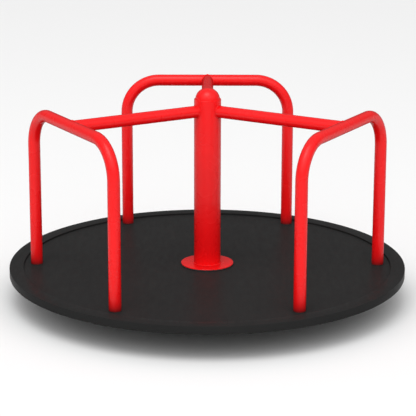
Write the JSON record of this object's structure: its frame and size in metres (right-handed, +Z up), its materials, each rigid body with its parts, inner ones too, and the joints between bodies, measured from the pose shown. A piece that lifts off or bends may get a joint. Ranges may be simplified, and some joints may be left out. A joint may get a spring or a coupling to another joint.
{
  "type": "playground merry-go-round",
  "caption": "Spinning playground platform: round recessed deck with a centre column, radial spokes and bent pipe hoop rails, turning on a fixed base spindle.",
  "frame": {"origin": "on the ground at the centre of the base plate, on the turning axis", "axes": "+Z up along the spindle, which is the turning axis; +Y towards the rear hoop; the entry gap opposite it faces -Y"},
  "size_m": [1.8, 1.8, 0.973],
  "materials": {
    "red_paint": "glossy red powder coat",
    "black_paint": "satin black powder coat",
    "zinc_steel": "bright zinc plated and turned steel",
    "bearing_steel": "ground bearing steel",
    "seal_rubber": "matt nitrile rubber"
  },
  "bodies": {
    "ground_base": {"anchor_bolt_1": "zinc_steel", "anchor_bolt_2": "zinc_steel", "anchor_bolt_3": "zinc_steel", "anchor_bolt_4": "zinc_steel", "anchor_bolt_5": "zinc_steel", "anchor_bolt_6": "zinc_steel", "base_plate": "black_paint", "gusset_1": "black_paint", "gusset_2": "black_paint", "gusset_3": "black_paint", "gusset_4": "black_paint", "lower_bearing_cone": "bearing_steel", "spindle": "zinc_steel", "spindle_nut": "zinc_steel", "tab_washer": "zinc_steel", "upper_bearing_cone": "bearing_steel"},
    "turntable": {"centre_column": "red_paint", "column_cap": "red_paint", "column_flange": "red_paint", "cup_clip": "zinc_steel", "deck_panel": "black_paint", "deck_stringer_1": "black_paint", "deck_stringer_2": "black_paint", "deck_stringer_3": "black_paint", "deck_stringer_4": "black_paint", "deck_stringer_5": "black_paint", "deck_stringer_6": "black_paint", "frame_arm_1": "black_paint", "frame_arm_2": "black_paint", "frame_arm_3": "black_paint", "frame_arm_4": "black_paint", "frame_arm_5": "black_paint", "frame_arm_6": "black_paint", "grease_seal": "seal_rubber", "hub_housing": "black_paint", "left_hoop": "red_paint", "left_spoke": "red_paint", "leg_bolt_1": "zinc_steel", "leg_bolt_2": "zinc_steel", "leg_bolt_3": "zinc_steel", "leg_bolt_4": "zinc_steel", "leg_bolt_5": "zinc_steel", "leg_bolt_6": "zinc_steel", "leg_plug_1": "zinc_steel", "leg_plug_2": "zinc_steel", "leg_plug_3": "zinc_steel", "leg_plug_4": "zinc_steel", "leg_plug_5": "zinc_steel", "leg_plug_6": "zinc_steel", "lower_bearing_cup": "bearing_steel", "rear_hoop": "red_paint", "rear_spoke": "red_paint", "right_hoop": "red_paint", "right_spoke": "red_paint", "rim_band": "black_paint", "rim_cap": "black_paint", "upper_bearing_cup": "bearing_steel", "upper_housing": "zinc_steel"},
    "lower_rollers": {"lower_roller_set": "bearing_steel"},
    "upper_rollers": {"upper_roller_set": "bearing_steel"}
  },
  "joints": [
    {"name": "platform_spin", "type": "hinge", "parent": "ground_base", "child": "turntable", "pos_m": [0, 0, 0.1], "axis": [0, 0, 1], "continuous": true},
    {"name": "lower_roller_orbit", "type": "hinge", "parent": "ground_base", "child": "lower_rollers", "pos_m": [0, 0, 0.0815], "axis": [0, 0, 1], "continuous": true},
    {"name": "upper_roller_orbit", "type": "hinge", "parent": "ground_base", "child": "upper_rollers", "pos_m": [0, 0, 0.508], "axis": [0, 0, 1], "continuous": true}
  ],
  "couplings": [
    {"joint": "lower_roller_orbit", "follows": "platform_spin", "ratio": 0.5515},
    {"joint": "upper_roller_orbit", "follows": "platform_spin", "ratio": 0.5547}
  ]
}
